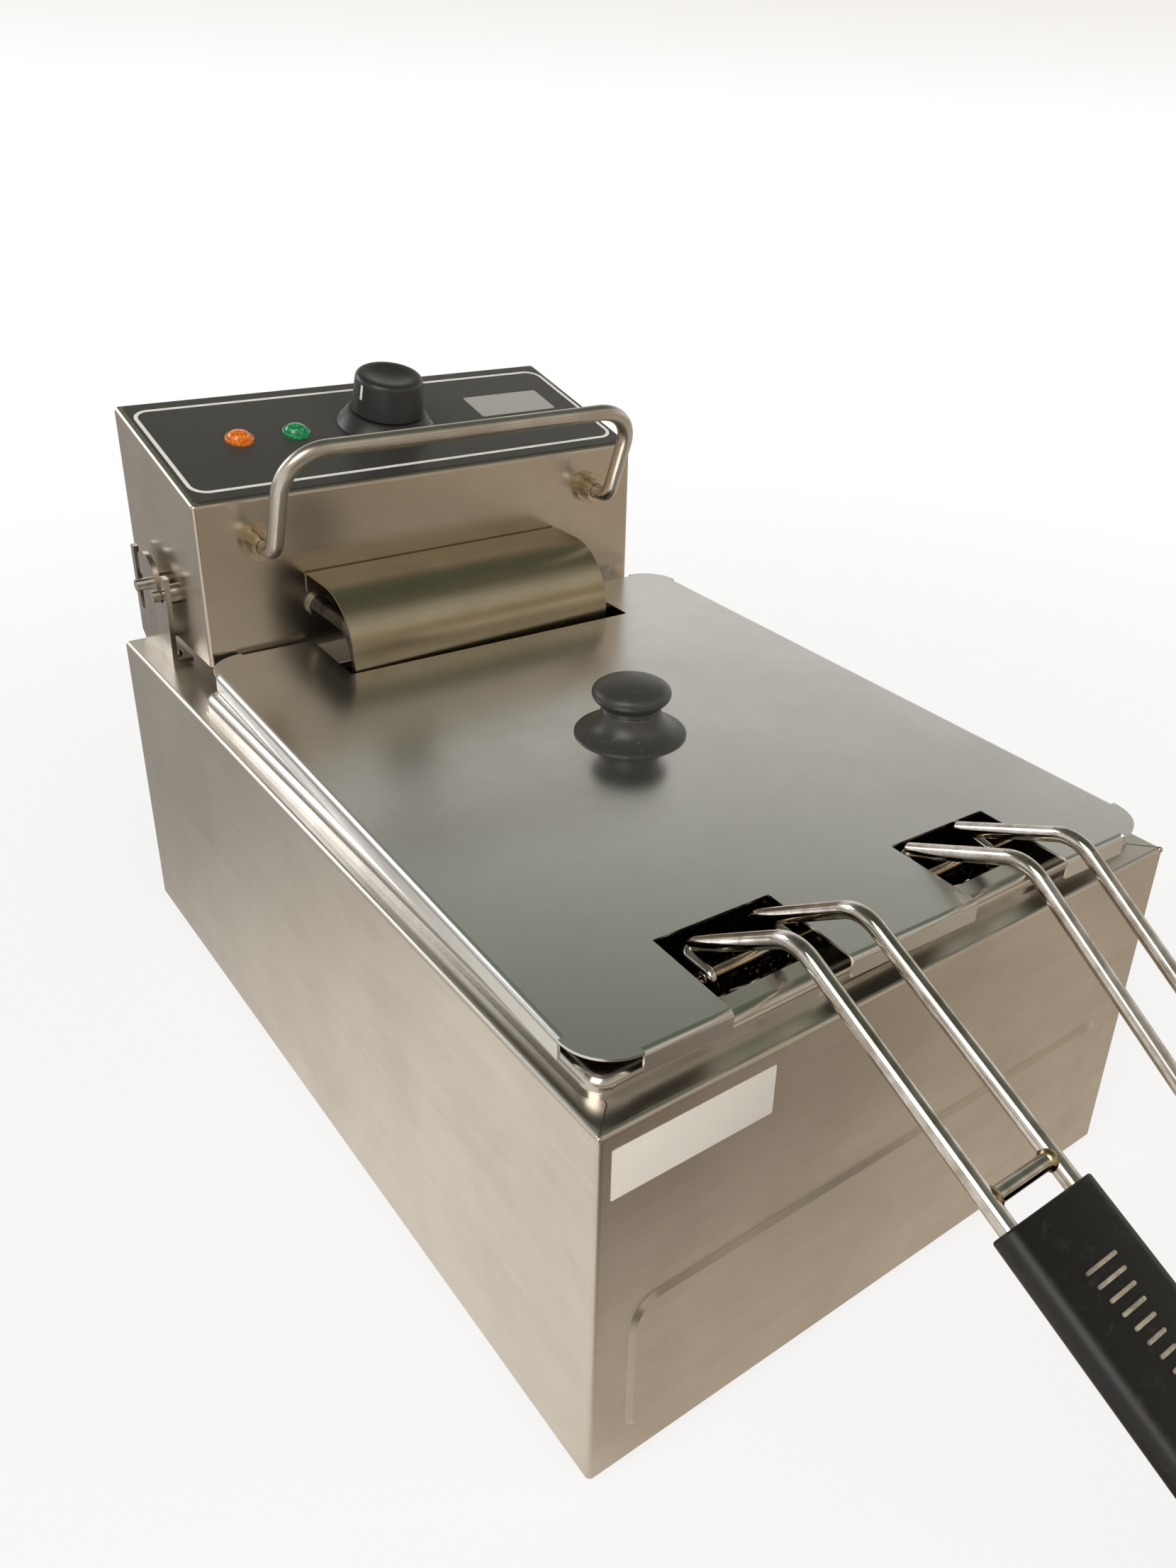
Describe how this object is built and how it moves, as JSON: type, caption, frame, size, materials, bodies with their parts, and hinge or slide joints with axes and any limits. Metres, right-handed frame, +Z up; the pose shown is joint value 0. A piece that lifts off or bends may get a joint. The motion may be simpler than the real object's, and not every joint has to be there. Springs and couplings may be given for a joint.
{
  "type": "deep fryer",
  "caption": "Countertop electric deep fryer: stainless casing and oil tank, flat notched lid, wire baskets with black grips, and a hinged control head carrying the heating element.",
  "frame": {"origin": "on the table, under the middle of the whole width and depth, basket grips included", "axes": "+Z up; the front of the casing and the basket grips face -Y; +X to the right as seen from the front"},
  "size_m": [0.28, 0.6772, 0.2964],
  "materials": {
    "stainless_sheet": "satin, with a fine brushed grain",
    "head_steel": "satin, with a fine brushed grain",
    "lid_steel": "fine brushed grain along the depth",
    "tank_steel": "satin pressed steel",
    "bright_wire": "bright plated wire",
    "handle_steel": "satin polished rod",
    "zinc_fasteners": "zinc plated",
    "element_steel": "heat-darkened steel",
    "panel_black": "satin printed film",
    "silver_plate": "satin foil, blank",
    "amber_lens": "clear amber moulding",
    "green_lens": "clear green moulding",
    "black_plastic": "satin moulded",
    "white_plastic": "moulded",
    "grip_black": "scuffed coating",
    "foot_rubber": "moulded"
  },
  "bodies": {
    "casing": {"casing_wrap": "stainless_sheet", "back_panel": "stainless_sheet", "back_panel_screws": "zinc_fasteners", "base_plate": "stainless_sheet", "rubber_feet": "foot_rubber", "foot_screws": "zinc_fasteners", "rear_deck": "stainless_sheet", "hinge_bracket_left": "stainless_sheet", "hinge_bracket_right": "stainless_sheet", "bracket_rivets": "zinc_fasteners", "tank": "tank_steel"},
    "head": {"head_shell": "head_steel", "head_floor": "stainless_sheet", "head_back_cover": "stainless_sheet", "back_cover_screws": "zinc_fasteners", "cable_gland": "black_plastic", "control_overlay": "panel_black", "rating_plate": "silver_plate", "power_lamp": "amber_lens", "heating_lamp": "green_lens", "lamp_bodies": "white_plastic", "dial_ring": "black_plastic", "thermostat": "element_steel", "limit_switch": "element_steel", "terminal_block": "white_plastic", "heating_element": "element_steel", "element_nuts": "zinc_fasteners", "element_supports": "stainless_sheet", "element_cover": "head_steel", "cover_screws": "zinc_fasteners", "lift_handle": "handle_steel", "handle_bosses": "handle_steel", "handle_nuts": "zinc_fasteners", "pivot_pins": "handle_steel", "stop_pins": "handle_steel"},
    "knob": {"thermostat_knob": "black_plastic", "thermostat_shaft": "zinc_fasteners"},
    "lid": {"lid_plate": "lid_steel", "lid_knob_base": "black_plastic", "lid_knob": "black_plastic", "lid_knob_screw": "zinc_fasteners"},
    "left_basket": {"left_basket_frame": "bright_wire", "left_basket_mesh": "bright_wire", "left_basket_handle": "bright_wire", "left_basket_grip": "grip_black"},
    "right_basket": {"right_basket_frame": "bright_wire", "right_basket_mesh": "bright_wire", "right_basket_handle": "bright_wire", "right_basket_grip": "grip_black"}
  },
  "joints": [
    {"name": "head_tilt", "type": "hinge", "parent": "casing", "child": "head", "pos_m": [0, 0.28663, 0.197], "axis": [-1, 0, 0], "range_deg": [0, 3]},
    {"name": "thermostat_turn", "type": "hinge", "parent": "head", "child": "knob", "pos_m": [0, 0.27463, 0.26462], "axis": [0, 0.2403, -0.9707], "range_deg": [0, 270]},
    {"name": "lid_lift", "type": "slide", "parent": "casing", "child": "lid", "axis": [0, -0.7071, 0.7071], "range_m": [0, 0.25]},
    {"name": "left_basket_lift", "type": "slide", "parent": "casing", "child": "left_basket", "axis": [0, 0, 1], "range_m": [0, 0.005]},
    {"name": "right_basket_lift", "type": "slide", "parent": "casing", "child": "right_basket", "axis": [0, 0, 1], "range_m": [0, 0.005]}
  ]
}
